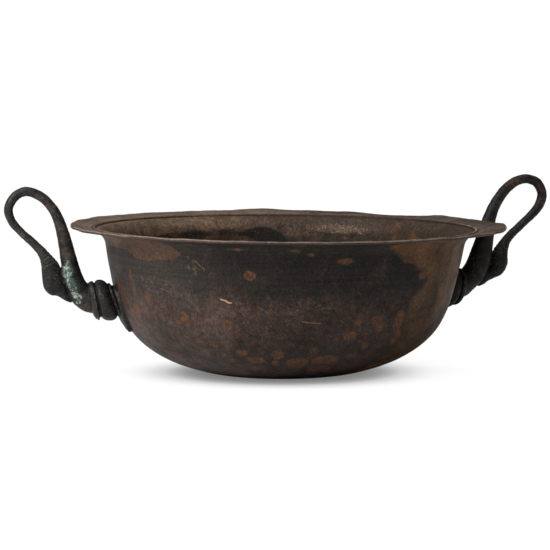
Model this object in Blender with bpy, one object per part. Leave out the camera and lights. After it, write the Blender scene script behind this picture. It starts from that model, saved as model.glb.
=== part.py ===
"""Bronze bowl with two swan-neck handles, metres, +Z up.

The origin is the centre of the flat underside. The handles stand along -X and +X, a few degrees
towards +Y. Each handle is one casting: leaf plate, thin ring, ball, collar, shaft, grip loop,
neck, head and bill.
"""
import math

import bmesh
import bpy
from mathutils import Vector

# ---- bowl
RIM_RADIUS = 0.1800        # outer edge of the flange
RIM_HEIGHT = 0.1216        # top of the flange's outer edge above the underside
FLANGE_WIDTH = 0.0225      # from the mouth bead to the outer edge
FLANGE_RISE = 0.0031       # the flange climbs this much towards its edge
BASE_RADIUS = 0.0522       # flat disc that the bowl stands on
SWELL = 0.0766             # how far the wall swings out beyond the flat disc
SWELL_HEIGHT = 0.1535      # height over which that swing is spread
SWELL_TURN = 6.80          # higher is a lower, squarer belly
SWELL_ROUND = 1.36         # higher is a softer turn out of the flat disc
WALL_FLARE = 0.180         # outward slope of the straight part of the wall
WALL = 0.0018              # sheet thickness of the wall
RIM_THICKNESS = 0.0024     # thickness of the flange
THROAT_FILLET = 0.0125     # outer radius between the wall and the flange
BEAD_HEIGHT = 0.0008       # raised bead round the mouth
BEAD_WIDTH = 0.0026
BOWL_SEGMENTS = 80
CHORD_ERROR = 0.00032      # largest step between the turned profile and its facets

# ---- wear and hand work of the bowl
LEAN_AZIMUTH = -19.0       # the bowl leans down towards this side, degrees from +X
LEAN_SHEAR = 0.0210        # sideways shift per height
LEAN_DROP = 0.0084         # fall of the rim plane towards that side
RIM_SHIFT = 0.0030         # the flange was cut off centre by this much, towards the same side
FLAT_DEPTH = 0.0012        # the flange's edge is knocked flat on the same side
FLAT_SPAN = 5.0
RIM_WAVES = (              # bends of the flange: side, rise, span
    (79.0, 0.0016, 6.0), (40.0, -0.0020, 11.0), (24.0, 0.0009, 5.0), (-19.0, 0.0022, 11.0),
    (-48.0, 0.0010, 16.0),
)

# ---- handles
SOLDER_GAP = 0.0003        # between each leaf plate and the wall
PLATE_HALF_WIDTH = 0.0140
PLATE_ABOVE = 0.0120       # plate above and below the handle's axis
PLATE_BELOW = 0.0265
PLATE_EDGE = 0.0028
PLATE_CROWN = 0.0046
ROOT_SINK = 0.0012         # how far the root starts above the plate's back
ROOT_TUCK = 0.0006         # the root starts this much narrower than its first section
HANDLE_SIDES = 14
LEFT_AZIMUTH = 174.0
RIGHT_AZIMUTH = 6.0
LEFT_HEIGHT = 0.0625       # height of the ball's centre
RIGHT_HEIGHT = 0.0650
LEFT_TURN = 8.0            # the left ball and collar were cast turned about the upright
RIGHT_TURN = 0.0
HANDLE_UNIT = 0.001        # one unit of the four tables below, a millimetre

# Roots of the two handles: distance out from the wall, rise, tilt of the section in degrees,
# radius, all lengths in handle units. Thin ring, groove, ball, groove, collar.
LEFT_ROOT = (
    (2.0, 0.0, -18, 12.4), (2.8, 0.0, -19, 14.3), (4.1, 0.0, -19, 14.3), (4.8, -0.1, -18, 13.4),
    (6.4, -0.4, -17, 16.0), (9.9, -0.5, -15, 17.3), (13.9, -0.4, -12, 16.9), (16.5, -0.1, -11, 15.3),
    (17.4, -0.2, -10, 14.4), (18.5, -0.8, -10, 16.4), (21.0, -0.4, -9, 15.5), (22.8, 0.4, -9, 13.0),
)
RIGHT_ROOT = (
    (4.2, 0.0, -18, 12.2), (5.2, 0.0, -19, 14.2), (6.9, 0.0, -19, 14.2), (7.6, -0.1, -18, 13.4),
    (9.2, -0.4, -17, 16.0), (12.6, -0.5, -15, 17.3), (16.4, -0.4, -12, 16.9), (18.4, -0.1, -11, 15.3),
    (19.3, 0.0, -10, 14.4), (20.4, 0.0, -10, 15.8), (23.2, 0.2, -9, 15.2), (24.6, 0.4, -9, 13.0),
)

# Shaft, grip loop and neck: distance out from the wall, rise above the ball's centre,
# thickness in the handle's plane, thickness across, all in handle units.
LEFT_SWAN = (
    (12.0, -0.4, 20.6, 20.6), (19.0, 0.2, 22.6, 22.6), (24.2, 1.2, 22.8, 22.8), (28.0, 3.0, 21.2, 21.0),
    (31.6, 6.0, 19.8, 19.6), (35.0, 12.0, 17.4, 17.4), (38.2, 20.7, 15.0, 15.2),
    (42.0, 35.9, 12.6, 12.8), (45.6, 52.5, 10.0, 10.4), (51.0, 68.8, 8.0, 8.8), (58.6, 80.0, 7.4, 8.0),
    (67.2, 86.6, 7.5, 7.9), (76.8, 89.2, 7.6, 7.8), (85.8, 84.9, 7.1, 7.6), (90.7, 75.0, 6.9, 7.4),
    (87.8, 64.4, 6.1, 7.0), (80.0, 55.6, 5.9, 6.8), (72.0, 48.6, 6.2, 6.8), (64.4, 41.0, 7.4, 7.6),
    (59.9, 34.8, 10.4, 9.4), (56.6, 28.2, 14.8, 11.8), (54.5, 21.0, 17.4, 13.2), (53.0, 14.8, 19.2, 13.6),
    (50.8, 10.8, 17.4, 12.6), (47.8, 7.8, 11.4, 10.4), (44.6, 4.2, 7.2, 8.4), (41.2, 1.0, 5.2, 7.0),
    (38.6, -1.2, 2.6, 4.2),
)
RIGHT_SWAN = (
    (12.0, -0.4, 20.4, 20.4), (19.0, 0.2, 22.2, 22.2), (25.2, 1.8, 22.2, 22.0), (30.4, 4.6, 20.0, 19.8),
    (35.6, 9.0, 20.0, 19.2), (40.1, 14.6, 20.0, 18.8), (44.2, 24.2, 19.4, 17.8),
    (48.3, 37.6, 15.8, 15.2), (53.7, 57.0, 10.6, 11.0), (60.0, 69.6, 8.7, 9.4), (68.0, 79.6, 8.2, 8.8),
    (77.6, 87.1, 8.1, 8.4), (89.0, 89.7, 8.0, 8.2), (99.4, 86.0, 8.0, 8.2), (104.3, 76.4, 8.0, 8.2),
    (101.6, 66.6, 7.8, 8.0), (93.8, 58.2, 6.8, 7.4), (84.4, 50.6, 6.4, 7.0), (75.4, 43.5, 6.8, 7.2),
    (69.6, 38.0, 8.0, 8.0), (65.7, 31.8, 11.4, 9.8), (63.1, 25.4, 15.0, 12.2), (61.8, 19.0, 16.6, 13.2),
    (59.4, 14.0, 14.6, 12.6), (54.8, 10.2, 10.2, 10.2), (50.0, 6.8, 7.4, 8.4), (45.6, 3.2, 5.6, 7.2),
    (42.0, 0.4, 2.8, 4.4),
)
SWAN_STEPS = 2             # sections between two of those points


def bronze(name, color, roughness, metallic):
    """Principled material in one flat colour."""
    material = bpy.data.materials.new(name)
    material.use_nodes = True
    shader = material.node_tree.nodes["Principled BSDF"]
    shader.inputs["Base Color"].default_value = (*color, 1.0)
    shader.inputs["Roughness"].default_value = roughness
    shader.inputs["Metallic"].default_value = metallic
    return material


def wall_radius(height):
    """Outer radius of the wall at a height."""
    reach = abs(1.0 - height / SWELL_HEIGHT) ** SWELL_TURN
    swing = (1.0 - reach) ** (1.0 / SWELL_ROUND)
    return BASE_RADIUS + SWELL * swing + WALL_FLARE * height


def wall_slope(height):
    """Outward slope of the wall at a height."""
    step = 0.0005
    return (wall_radius(height + step) - wall_radius(height - step)) / (2 * step)


def outer_profile():
    """Underside of the turned profile, from the flat disc's edge to the lip."""
    flange = math.atan2(FLANGE_RISE, FLANGE_WIDTH)
    edge = Vector((RIM_RADIUS - RIM_THICKNESS / 2, RIM_HEIGHT - RIM_THICKNESS))
    along = Vector((math.cos(flange), math.sin(flange)))
    below = Vector((along.y, -along.x))
    # The fillet's centre lies THROAT_FILLET below the flange and outside the wall.
    top = RIM_HEIGHT - FLANGE_RISE - RIM_THICKNESS - 0.3 * THROAT_FILLET
    for _ in range(40):
        steep = math.atan(wall_slope(top))
        centre = Vector((wall_radius(top), top))
        centre += Vector((math.cos(steep), -math.sin(steep))) * THROAT_FILLET
        top += (edge - centre).dot(below) * -1.0 - THROAT_FILLET
    points = [Vector((wall_radius(top * (i / 240) ** 1.8), top * (i / 240) ** 1.8)) for i in range(241)]
    start = math.pi - math.atan(wall_slope(top))
    stop = math.pi / 2 + flange
    for i in range(1, 25):
        angle = start + (stop - start) * i / 24
        points.append(centre + Vector((math.cos(angle), math.sin(angle))) * THROAT_FILLET)
    points.append(edge)
    return points


def thinned(points):
    """Keep only the points that a chord error needs."""
    kept = [points[0]]
    first = 0
    while first < len(points) - 1:
        last = first + 1
        while last + 1 < len(points):
            run = points[last + 1] - points[first]
            side = Vector((-run.y, run.x)).normalized()
            worst = max(abs((p - points[first]).dot(side)) for p in points[first:last + 2])
            if worst > CHORD_ERROR:
                break
            last += 1
        kept.append(points[last])
        first = last
    return kept


def inner_profile(outer):
    """Top side of the profile, offset from the underside by the metal's thickness."""
    throat = RIM_HEIGHT - FLANGE_RISE - RIM_THICKNESS
    points = []
    for i, point in enumerate(outer):
        before = outer[max(i - 1, 0)]
        after = outer[min(i + 1, len(outer) - 1)]
        run = (after - before).normalized()
        up = Vector((-run.y, run.x))
        if i == 0:
            up = Vector((0.0, 1.0))
        blend = min(max((point.y - throat + THROAT_FILLET) / THROAT_FILLET, 0.0), 1.0)
        points.append(point + up * (WALL + (RIM_THICKNESS - WALL) * blend))
    return points


def leaned(point):
    """Move a point of the true bowl to where the leaning, battered bowl has it."""
    side = Vector((math.cos(math.radians(LEAN_AZIMUTH)), math.sin(math.radians(LEAN_AZIMUTH)), 0.0))
    out = point.dot(side)
    radius = math.hypot(point.x, point.y)
    azimuth = math.degrees(math.atan2(point.y, point.x))
    throat = RIM_RADIUS - FLANGE_WIDTH
    edge = min(max((radius - throat) / FLANGE_WIDTH, 0.0), 1.0)
    moved = point + side * LEAN_SHEAR * point.z
    moved.z -= LEAN_DROP * out * point.z / RIM_HEIGHT
    if edge > 0.0:
        moved += side * RIM_SHIFT * edge
        for place, rise, span in RIM_WAVES:
            turn = (azimuth - place + 180.0) % 360.0 - 180.0
            moved.z += rise * edge * math.exp(-(turn / span) ** 2)
        turn = (azimuth - LEAN_AZIMUTH + 180.0) % 360.0 - 180.0
        moved -= side * FLAT_DEPTH * edge * math.exp(-(turn / FLAT_SPAN) ** 2)
    return moved


def turned(name, profile, material):
    """Solid of revolution from a closed profile that starts and ends on the axis."""
    mesh = bpy.data.meshes.new(name)
    bm = bmesh.new()
    rings = []
    for radius, height in profile:
        if radius < 1e-9:
            rings.append([bm.verts.new(leaned(Vector((0.0, 0.0, height))))])
            continue
        ring = []
        for i in range(BOWL_SEGMENTS):
            angle = 2 * math.pi * i / BOWL_SEGMENTS
            ring.append(bm.verts.new(leaned(Vector((radius * math.cos(angle), radius * math.sin(angle), height)))))
        rings.append(ring)
    for low, high in zip(rings, rings[1:]):
        for i in range(BOWL_SEGMENTS):
            j = (i + 1) % BOWL_SEGMENTS
            if len(low) == 1:
                bm.faces.new((low[0], high[j], high[i]))
            elif len(high) == 1:
                bm.faces.new((low[i], low[j], high[0]))
            else:
                bm.faces.new((low[i], low[j], high[j], high[i]))
    bmesh.ops.recalc_face_normals(bm, faces=bm.faces)
    bm.to_mesh(mesh)
    bm.free()
    mesh.shade_smooth()
    mesh.set_sharp_from_angle(angle=math.radians(40))
    mesh.materials.append(material)
    shape = bpy.data.objects.new(name, mesh)
    bpy.context.scene.collection.objects.link(shape)
    return shape


def make_bowl(material):
    """Hollow bowl: underside, rounded lip, flange with its bead, inside."""
    outer = outer_profile()
    below = thinned(outer)
    inside = inner_profile(outer)
    above = thinned(inside)
    lip = (below[-1] + above[-1]) / 2
    around = below[-1] - lip
    profile = [(0.0, 0.0)]
    profile += [(p.x, p.y) for p in below]
    for angle in (45, 90, 135):
        turn = math.radians(angle)
        spoke = Vector((around.x * math.cos(turn) - around.y * math.sin(turn),
                        around.x * math.sin(turn) + around.y * math.cos(turn)))
        profile.append((lip.x + spoke.x, lip.y + spoke.y))
    slope = FLANGE_RISE / FLANGE_WIDTH
    mouth = RIM_RADIUS - FLANGE_WIDTH
    level = above[-1].y - (above[-1].x - mouth) * slope
    backward = list(reversed(above))
    profile.append((backward[0].x, backward[0].y))
    for share, lift in ((0.5, 0.0), (0.25, 0.8), (-0.1, 1.0), (-0.45, 0.5)):
        reach = mouth + BEAD_WIDTH * share
        profile.append((reach, level + (reach - mouth) * slope + BEAD_HEIGHT * lift))
    limit = mouth - BEAD_WIDTH * 0.75
    profile += [(p.x, p.y) for p in backward[1:] if p.x < limit]
    profile.append((0.0, backward[-1].y))
    return turned("bowl", profile, material)


def on_wall(azimuth, across, height, out):
    """Point at a distance outside the wall, beside a handle's own plane."""
    radius = wall_radius(height)
    angle = math.radians(azimuth) + across / radius
    steep = math.atan(wall_slope(height))
    reach = radius + out * math.cos(steep)
    spot = Vector((reach * math.cos(angle), reach * math.sin(angle), height - out * math.sin(steep)))
    return leaned(spot)


def leaf_plate(azimuth, height):
    """Leaf-shaped plate that follows the wall, pointed at its foot and crowned."""
    bm = bmesh.new()
    points = 26
    shells = []
    for back in (True, False):
        rings = []
        for share in (1.0, 0.72, 0.4):
            ring = []
            for i in range(points):
                angle = 2 * math.pi * i / points
                rise = math.sin(angle)
                across = math.cos(angle) * PLATE_HALF_WIDTH
                if rise < 0.0:
                    across *= (1.0 + rise) ** 0.2 / max(math.cos(angle) ** 2, 0.02) ** 0.1
                up = rise * (PLATE_ABOVE if rise > 0.0 else PLATE_BELOW)
                out = SOLDER_GAP
                if not back:
                    out += PLATE_EDGE + (PLATE_CROWN - PLATE_EDGE) * (1.0 - share ** 2)
                edge = 0.94 if (share == 1.0 and not back) else share
                ring.append(bm.verts.new(on_wall(azimuth, across * edge, height + up * edge, out)))
            rings.append(ring)
        out = SOLDER_GAP if back else SOLDER_GAP + PLATE_CROWN
        rings.append([bm.verts.new(on_wall(azimuth, 0.0, height, out))])
        shells.append(rings)
    for rings in shells:
        for big, small in zip(rings, rings[1:]):
            for i in range(points):
                j = (i + 1) % points
                if len(small) == 1:
                    bm.faces.new((big[i], big[j], small[0]))
                else:
                    bm.faces.new((big[i], big[j], small[j], small[i]))
    for i in range(points):
        j = (i + 1) % points
        bm.faces.new((shells[0][0][i], shells[0][0][j], shells[1][0][j], shells[1][0][i]))
    bmesh.ops.triangulate(bm, faces=bm.faces)
    bmesh.ops.recalc_face_normals(bm, faces=bm.faces)
    mesh = bpy.data.meshes.new("leaf")
    bm.to_mesh(mesh)
    bm.free()
    shape = bpy.data.objects.new("leaf", mesh)
    bpy.context.scene.collection.objects.link(shape)
    return shape


def between(a, b, c, d, share):
    """Smooth value between b and c."""
    return b + 0.5 * share * (c - a + share * (2 * a - 5 * b + 4 * c - d + share * (3 * (b - c) + d - a)))


def root_sections(root):
    """Sections of the thin ring, ball and collar, in handle units: out, rise, tilt, two radii."""
    first = root[0]
    start = (ROOT_SINK + SOLDER_GAP) / HANDLE_UNIT
    narrow = first[3] - ROOT_TUCK / HANDLE_UNIT
    sections = [(start, 0.0, math.radians(first[2]), narrow, narrow)]
    for out, rise, tilt, radius in root:
        sections.append((out, rise, math.radians(tilt), radius, radius))
    return sections


def swan_sections(swan):
    """Sections of shaft, loop, neck, head and bill along a smooth curve, in handle units."""
    fine = []
    for i in range(len(swan) - 1):
        a = swan[max(i - 1, 0)]
        d = swan[min(i + 2, len(swan) - 1)]
        for s in range(SWAN_STEPS):
            share = s / SWAN_STEPS
            fine.append([between(a[k], swan[i][k], swan[i + 1][k], d[k], share) for k in range(4)])
    fine.append(list(swan[-1]))
    sections = []
    previous = 0.0
    for i, (out, rise, thick, wide) in enumerate(fine):
        ahead = fine[min(i + 1, len(fine) - 1)]
        behind = fine[max(i - 1, 0)]
        tilt = math.atan2(ahead[1] - behind[1], ahead[0] - behind[0])
        while tilt < previous - math.pi:
            tilt += 2 * math.pi
        previous = tilt
        sections.append((out, rise, tilt, thick / 2, wide / 2))
    return sections


def swept(name, azimuth, height, sections, turn=0.0):
    """Closed sweep of the sections in the handle's upright plane, each turned about the upright."""
    foot = on_wall(azimuth, 0.0, height, 0.0)
    outward = Vector((math.cos(math.radians(azimuth)), math.sin(math.radians(azimuth)), 0.0))
    across = Vector((-outward.y, outward.x, 0.0))
    up = Vector((0.0, 0.0, 1.0))
    wide_way = across * math.cos(math.radians(turn)) + outward * math.sin(math.radians(turn))
    bm = bmesh.new()
    rings = []
    for out, rise, tilt, in_plane, wide in sections:
        centre = foot + (outward * out + up * rise) * HANDLE_UNIT
        side = up * math.cos(tilt) - outward * math.sin(tilt)
        ring = []
        for i in range(HANDLE_SIDES):
            angle = 2 * math.pi * i / HANDLE_SIDES
            spoke = side * math.cos(angle) * in_plane + wide_way * math.sin(angle) * wide
            ring.append(bm.verts.new(centre + spoke * HANDLE_UNIT))
        rings.append(ring)
    for low, high in zip(rings, rings[1:]):
        for i in range(HANDLE_SIDES):
            j = (i + 1) % HANDLE_SIDES
            bm.faces.new((low[i], low[j], high[j], high[i]))
    bm.faces.new(reversed(rings[0]))
    bm.faces.new(rings[-1])
    bmesh.ops.triangulate(bm, faces=bm.faces)
    bmesh.ops.recalc_face_normals(bm, faces=bm.faces)
    mesh = bpy.data.meshes.new(name)
    bm.to_mesh(mesh)
    bm.free()
    shape = bpy.data.objects.new(name, mesh)
    bpy.context.scene.collection.objects.link(shape)
    return shape


def make_handle(name, azimuth, height, root, swan, turn, material):
    """One casting: the swan's body united with its ball and collar and its leaf plate."""
    pieces = [
        leaf_plate(azimuth, height),
        swept("root", azimuth, height, root_sections(root), turn),
    ]
    body = swept("swan", azimuth, height, swan_sections(swan))
    for piece in pieces:
        union = body.modifiers.new("cast in one", "BOOLEAN")
        union.operation = "UNION"
        union.solver = "EXACT"
        union.use_self = True
        union.object = piece
    bpy.context.view_layer.update()
    graph = bpy.context.evaluated_depsgraph_get()
    mesh = bpy.data.meshes.new_from_object(body.evaluated_get(graph))
    for piece in pieces:
        bpy.data.objects.remove(piece)
    bpy.data.objects.remove(body)
    mesh.name = name
    mesh.materials.clear()
    mesh.materials.append(material)
    mesh.shade_smooth()
    mesh.set_sharp_from_angle(angle=math.radians(50))
    shape = bpy.data.objects.new(name, mesh)
    bpy.context.scene.collection.objects.link(shape)
    return shape


for old in list(bpy.data.objects):
    bpy.data.objects.remove(old)

bowl_bronze = bronze("bowl_bronze", (0.060, 0.042, 0.033), 0.5, 0.6)
handle_bronze = bronze("handle_bronze", (0.030, 0.028, 0.025), 0.5, 0.6)

make_bowl(bowl_bronze)
make_handle("handle_left", LEFT_AZIMUTH, LEFT_HEIGHT, LEFT_ROOT, LEFT_SWAN, LEFT_TURN, handle_bronze)
make_handle("handle_right", RIGHT_AZIMUTH, RIGHT_HEIGHT, RIGHT_ROOT, RIGHT_SWAN, RIGHT_TURN, handle_bronze)
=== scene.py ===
import math
import random

import bmesh
import bpy
import numpy as np
from mathutils import Matrix, Vector, kdtree, noise


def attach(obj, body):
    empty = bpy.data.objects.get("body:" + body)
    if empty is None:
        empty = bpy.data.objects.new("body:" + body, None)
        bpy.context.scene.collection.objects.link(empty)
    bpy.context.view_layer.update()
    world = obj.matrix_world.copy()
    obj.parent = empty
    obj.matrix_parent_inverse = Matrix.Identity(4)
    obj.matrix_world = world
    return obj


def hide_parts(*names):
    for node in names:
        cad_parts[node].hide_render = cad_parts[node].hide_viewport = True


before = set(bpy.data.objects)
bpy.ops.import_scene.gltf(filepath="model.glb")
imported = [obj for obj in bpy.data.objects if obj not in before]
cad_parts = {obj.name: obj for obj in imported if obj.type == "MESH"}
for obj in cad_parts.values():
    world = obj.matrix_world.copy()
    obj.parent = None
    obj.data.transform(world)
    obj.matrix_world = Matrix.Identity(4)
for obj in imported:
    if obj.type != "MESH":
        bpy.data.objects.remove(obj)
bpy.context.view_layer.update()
bpy.ops.object.select_all(action="DESELECT")

# ---- The bowl: a bronze basin raised from one cast disc and trued on the lathe, hollow and empty.
# One sheet of metal, thicker in the flange, with a rounded lip, a thin bead round the mouth and a
# flat underside. Its brown patina carries soot round the shoulder and orange spots lower down.
RIM_RADIUS = 0.1799
RIM_HEIGHT = 0.1216
FLANGE_WIDTH = 0.0225
FLANGE_RISE = 0.0031
BASE_RADIUS = 0.0522
SWELL, SWELL_HEIGHT, SWELL_TURN, SWELL_ROUND = 0.0766, 0.1535, 6.80, 1.36
WALL_FLARE = 0.180
WALL, RIM_THICKNESS = 0.0018, 0.0024
THROAT_FILLET = 0.0125
BEAD_HEIGHT, BEAD_WIDTH = 0.0008, 0.0026
LEAN_SIDE = -19.0
LEAN_SHEAR, LEAN_DROP = 0.0210, 0.0084
RIM_SHIFT = 0.0030
FLAT_DEPTH, FLAT_SPAN = 0.0012, 5.0
RIM_WAVES = (
    (79.0, 0.0016, 6.0), (40.0, -0.0020, 11.0), (24.0, 0.0009, 5.0), (-19.0, 0.0022, 11.0),
    (-48.0, 0.0010, 16.0),
)
TURNS = 348
OUTSIDE_STEP, INSIDE_STEP = 0.0017, 0.0021
FRONT = -109.0


def wall_radius(height):
    """Outer radius of the wall at a height."""
    reach = abs(1.0 - height / SWELL_HEIGHT) ** SWELL_TURN
    return BASE_RADIUS + SWELL * (1.0 - reach) ** (1.0 / SWELL_ROUND) + WALL_FLARE * height


def wall_slope(height):
    """Outward slope of the wall at a height."""
    return (wall_radius(height + 0.0005) - wall_radius(height - 0.0005)) / 0.001


def outside_line():
    """Underside of the bowl from the edge of the flat disc to the lip, as (radius, height)."""
    flange = math.atan2(FLANGE_RISE, FLANGE_WIDTH)
    edge = Vector((RIM_RADIUS - RIM_THICKNESS / 2, RIM_HEIGHT - RIM_THICKNESS))
    below = Vector((math.sin(flange), -math.cos(flange)))
    top = RIM_HEIGHT - FLANGE_RISE - RIM_THICKNESS - 0.3 * THROAT_FILLET
    for _ in range(40):
        steep = math.atan(wall_slope(top))
        centre = Vector((wall_radius(top), top))
        centre += Vector((math.cos(steep), -math.sin(steep))) * THROAT_FILLET
        top -= (edge - centre).dot(below) + THROAT_FILLET
    heights = [top * (i / 900) ** 1.8 for i in range(901)]
    points = [Vector((wall_radius(height), height)) for height in heights]
    start = math.pi - math.atan(wall_slope(top))
    stop = math.pi / 2 + flange
    for i in range(1, 61):
        angle = start + (stop - start) * i / 60
        points.append(centre + Vector((math.cos(angle), math.sin(angle))) * THROAT_FILLET)
    points.append(edge)
    return points


def spaced(points, step):
    """Points an even step apart along a line of points."""
    length = sum((b - a).length for a, b in zip(points, points[1:]))
    count = round(length / step)
    kept, run, wanted = [points[0]], 0.0, length / count
    for a, b in zip(points, points[1:]):
        part = (b - a).length
        while run + part >= wanted - 1e-9 and len(kept) < count:
            kept.append(a.lerp(b, (wanted - run) / part))
            wanted += length / count
        run += part
    kept.append(points[-1])
    return kept


def topside_line(outside):
    """Inside of the bowl, a sheet's thickness in from the outside."""
    throat = RIM_HEIGHT - FLANGE_RISE - RIM_THICKNESS
    points = []
    for i, point in enumerate(outside):
        run = (outside[min(i + 1, len(outside) - 1)] - outside[max(i - 1, 0)]).normalized()
        up = Vector((-run.y, run.x)) if i else Vector((0.0, 1.0))
        share = min(max((point.y - throat + THROAT_FILLET) / THROAT_FILLET, 0.0), 1.0)
        points.append(point + up * (WALL + (RIM_THICKNESS - WALL) * share))
    return points


def leaned(point):
    """Move a point of the true bowl to where the leaning, battered bowl has it."""
    side = Vector((math.cos(math.radians(LEAN_SIDE)), math.sin(math.radians(LEAN_SIDE)), 0.0))
    out = point.dot(side)
    azimuth = math.degrees(math.atan2(point.y, point.x))
    throat = RIM_RADIUS - FLANGE_WIDTH
    edge = min(max((math.hypot(point.x, point.y) - throat) / FLANGE_WIDTH, 0.0), 1.0)
    moved = point + side * LEAN_SHEAR * point.z
    moved.z -= LEAN_DROP * out * point.z / RIM_HEIGHT
    if edge > 0.0:
        moved += side * RIM_SHIFT * edge
        for place, rise, span in RIM_WAVES:
            turn = (azimuth - place + 180.0) % 360.0 - 180.0
            moved.z += rise * edge * math.exp(-(turn / span) ** 2)
        turn = (azimuth - LEAN_SIDE + 180.0) % 360.0 - 180.0
        moved -= side * FLAT_DEPTH * edge * math.exp(-(turn / FLAT_SPAN) ** 2)
    return moved


# The half section: foot, outside, lip, flange, bead, inside and floor, each point marked with its
# side, 0 outside and 1 inside.
LIP_TURNS = (0.5, 1.0, 1.5, 2.0, 2.6)
BEAD_LINE = (
    (0.68, -0.1), (0.56, -0.25), (0.46, 0.1), (0.34, 0.7), (0.18, 1.15), (0.0, 1.3), (-0.18, 1.2),
    (-0.34, 0.8), (-0.46, 0.1), (-0.56, -0.8),
)
outside = spaced(outside_line(), OUTSIDE_STEP)
topside = topside_line(spaced(outside_line(), INSIDE_STEP))
line = [(Vector((BASE_RADIUS * i / 6, 0.0)), 0.0) for i in range(6)]
line += [(point, 0.0) for point in outside]
lip = (outside[-1] + topside[-1]) / 2
for turn in LIP_TURNS:
    line.append((lip + Matrix.Rotation(turn, 2) @ (outside[-1] - lip), 0.5))
slope = FLANGE_RISE / FLANGE_WIDTH
mouth = RIM_RADIUS - FLANGE_WIDTH
level = topside[-1].y - (topside[-1].x - mouth) * slope
line += [(point, 1.0) for point in reversed(topside) if point.x > mouth + BEAD_WIDTH * 0.8]
for share, lift in BEAD_LINE:
    reach = mouth + BEAD_WIDTH * share
    line.append((Vector((reach, level + (reach - mouth) * slope + BEAD_HEIGHT * lift)), 1.0))
line += [(point, 1.0) for point in reversed(topside) if point.x < mouth - BEAD_WIDTH * 0.74]
line += [(Vector((BASE_RADIUS * i / 6, topside[0].y)), 1.0) for i in range(5, -1, -1)]


def open_mesh():
    """Edit mode, with everything selected."""
    bpy.ops.object.mode_set(mode="EDIT")
    bpy.ops.mesh.select_all(action="SELECT")


def close_mesh():
    """All faces turned outward, and out of edit mode."""
    bpy.ops.mesh.select_all(action="SELECT")
    bpy.ops.mesh.normals_make_consistent(inside=False)
    bpy.ops.object.mode_set(mode="OBJECT")


# It is drawn point by point and spun round the axis.
bpy.ops.mesh.primitive_plane_add(size=0.001, location=(0.0, 0.0, 0.0))
bowl = bpy.context.object
bowl.name = "bowl_basin"
bpy.ops.object.mode_set(mode="EDIT")
bpy.ops.mesh.merge(type="CENTER")
for (before, _), (after, _) in zip(line, line[1:]):
    move = (after.x - before.x, 0.0, after.y - before.y)
    bpy.ops.mesh.extrude_region_move(TRANSFORM_OT_translate={"value": move})
bpy.ops.object.mode_set(mode="OBJECT")
side_mark = bowl.data.attributes.new("inside", "FLOAT", "POINT")
tree = kdtree.KDTree(len(line))
for i, (point, _) in enumerate(line):
    tree.insert((point.x, 0.0, point.y), i)
tree.balance()
for vertex in bowl.data.vertices:
    side_mark.data[vertex.index].value = line[tree.find(vertex.co)[1]][1]
open_mesh()
bpy.ops.mesh.spin(steps=TURNS, angle=2 * math.pi, center=(0.0, 0.0, 0.0), axis=(0.0, 0.0, 1.0))
bpy.ops.mesh.select_all(action="SELECT")
bpy.ops.mesh.remove_doubles(threshold=0.00002)
close_mesh()

# Hammer work, knocks and the lean, then the fields that the patina follows.
HAMMER_DEEP, HAMMER_FINE, LATHE_MARKS = 0.00030, 0.00014, 0.00005
NICK_DEPTH, RIM_RIPPLE, RIM_FINE_RIPPLE = 0.0009, 0.0005, 0.00022
count = len(bowl.data.vertices)
inside = np.empty(count, np.float32)
bowl.data.attributes["inside"].data.foreach_get("value", inside)
angle, flange, from_bead, lip_edge = (np.empty(count) for _ in range(4))
for i, vertex in enumerate(bowl.data.vertices):
    p = vertex.co.copy()
    radius = math.hypot(p.x, p.y)
    angle[i] = math.degrees(math.atan2(p.y, p.x)) - FRONT
    flange[i] = min(max((radius - mouth) / FLANGE_WIDTH, -1.0), 1.0)
    from_bead[i] = (radius - mouth) * 1000
    lip_edge[i] = 1.5 if inside[i] else -1.5
    if radius > RIM_RADIUS - 0.0013:
        lip_edge[i] = (p.z - lip.y) / (RIM_THICKNESS / 2)
    out = Vector((p.x, p.y, min(p.z - 0.11, 0.0))).normalized()
    # The foot stays flat, so that the bowl stands.
    still = min(p.z / 0.006, 1.0) if not inside[i] else min(max(p.z - WALL, 0.0) / 0.006 + 0.15, 1.0)
    edge = max(flange[i], 0.0)
    dent = HAMMER_DEEP * noise.noise(p * 34.0) + HAMMER_FINE * noise.noise(p * 95.0)
    dent += LATHE_MARKS * noise.noise(Vector((p.x * 30.0, p.y * 30.0, p.z * 900.0)))
    p += out * dent * still * (1.0 - edge)
    if edge > 0.0:
        spot = Vector((p.x, p.y, 0.0)).normalized()
        nick = noise.noise(spot * 16.0) * 0.6 + noise.noise(spot * 41.0) * 0.4
        flattened = (angle[i] + FRONT - LEAN_SIDE + 180.0) % 360.0 - 180.0
        nick = max(nick, 0.0) * (1.0 - math.exp(-(flattened / 14.0) ** 2))
        p -= spot * nick * NICK_DEPTH * edge ** 3
        p.z += (noise.noise(spot * 9.0 + Vector((3.0, 0.0, 0.0))) * RIM_RIPPLE
                + noise.noise(spot * 30.0 + Vector((7.0, 0.0, 0.0))) * RIM_FINE_RIPPLE) * edge
    vertex.co = leaned(p)

height = np.array([v.co.z for v in bowl.data.vertices]) * 1000
reach = np.array([math.hypot(v.co.x, v.co.y) for v in bowl.data.vertices]) * 1000
angle = (angle + 180.0) % 360.0 - 180.0
within = np.round(inside) == 1.0


def oval(turned, middle, wide, tall):
    """Field of an oval: the angle and the height of its middle, and half sizes in millimetres."""
    turn = (angle - turned + 180.0) % 360.0 - 180.0
    return (1.0 - np.hypot(np.radians(turn) * reach / wide, (height - middle) / tall)) * min(wide, tall)


def ovals(*rows):
    """Greatest of several ovals."""
    return np.max([oval(*row) for row in rows] + [np.full(count, -10.0)], axis=0)


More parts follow.
